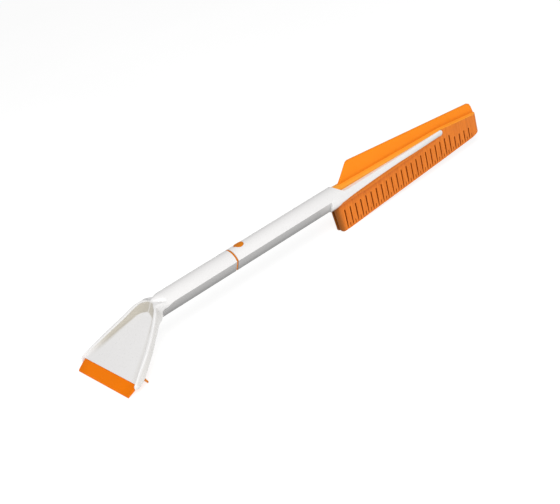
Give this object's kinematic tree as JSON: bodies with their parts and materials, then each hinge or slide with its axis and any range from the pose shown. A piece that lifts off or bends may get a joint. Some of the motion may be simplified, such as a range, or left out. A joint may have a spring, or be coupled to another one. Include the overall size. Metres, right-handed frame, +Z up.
{
  "type": "snow brush scraper",
  "caption": "Car snow brush and ice scraper on one straight handle, with a drooping scoop-shaped scraper head, squeegee fin, double bristle comb and a push-button release coupling.",
  "frame": {"origin": "centre of the bounding box's underside, on the ground the tool stands on", "axes": "+X along the handle from the scraper head to the brush end, +Y across the tool, +Z up towards the squeegee fin"},
  "size_m": [0.6166, 0.1096, 0.0798],
  "materials": {
    "white_shell": "gloss",
    "orange_plastic": "gloss",
    "orange_soft": "satin",
    "orange_blade": "satin",
    "inner_plastic": "matte",
    "steel": "brushed"
  },
  "bodies": {
    "brush": {"brush_upper_shell": "white_shell", "brush_lower_shell": "white_shell", "socket_sleeve": "inner_plastic", "brush_handle_screws": "steel", "squeegee_fin": "orange_soft", "brush_core": "inner_plastic", "front_bristle_comb": "orange_soft", "rear_bristle_comb": "orange_soft", "core_screws": "steel"},
    "scraper": {"scraper_upper_shell": "white_shell", "scraper_lower_shell": "white_shell", "scraper_blade": "orange_blade", "ice_breaker_comb": "orange_plastic", "comb_screws": "steel", "blade_rivets": "steel", "coupling_spigot": "orange_plastic", "scraper_handle_screws": "steel", "latch_spring": "steel", "latch_rivet": "steel"},
    "button": {"release_button": "orange_plastic"}
  },
  "joints": [
    {"name": "scraper_pull", "type": "slide", "parent": "brush", "child": "scraper", "axis": [-1, 0, 0], "range_m": [0, 0.08], "deforming": ["latch_spring"]},
    {"name": "button_press", "type": "slide", "parent": "brush", "child": "button", "axis": [0, 0, -1], "range_m": [0, 0.002], "stiffness_N_per_m": 3000, "deforming": ["latch_spring"]}
  ]
}
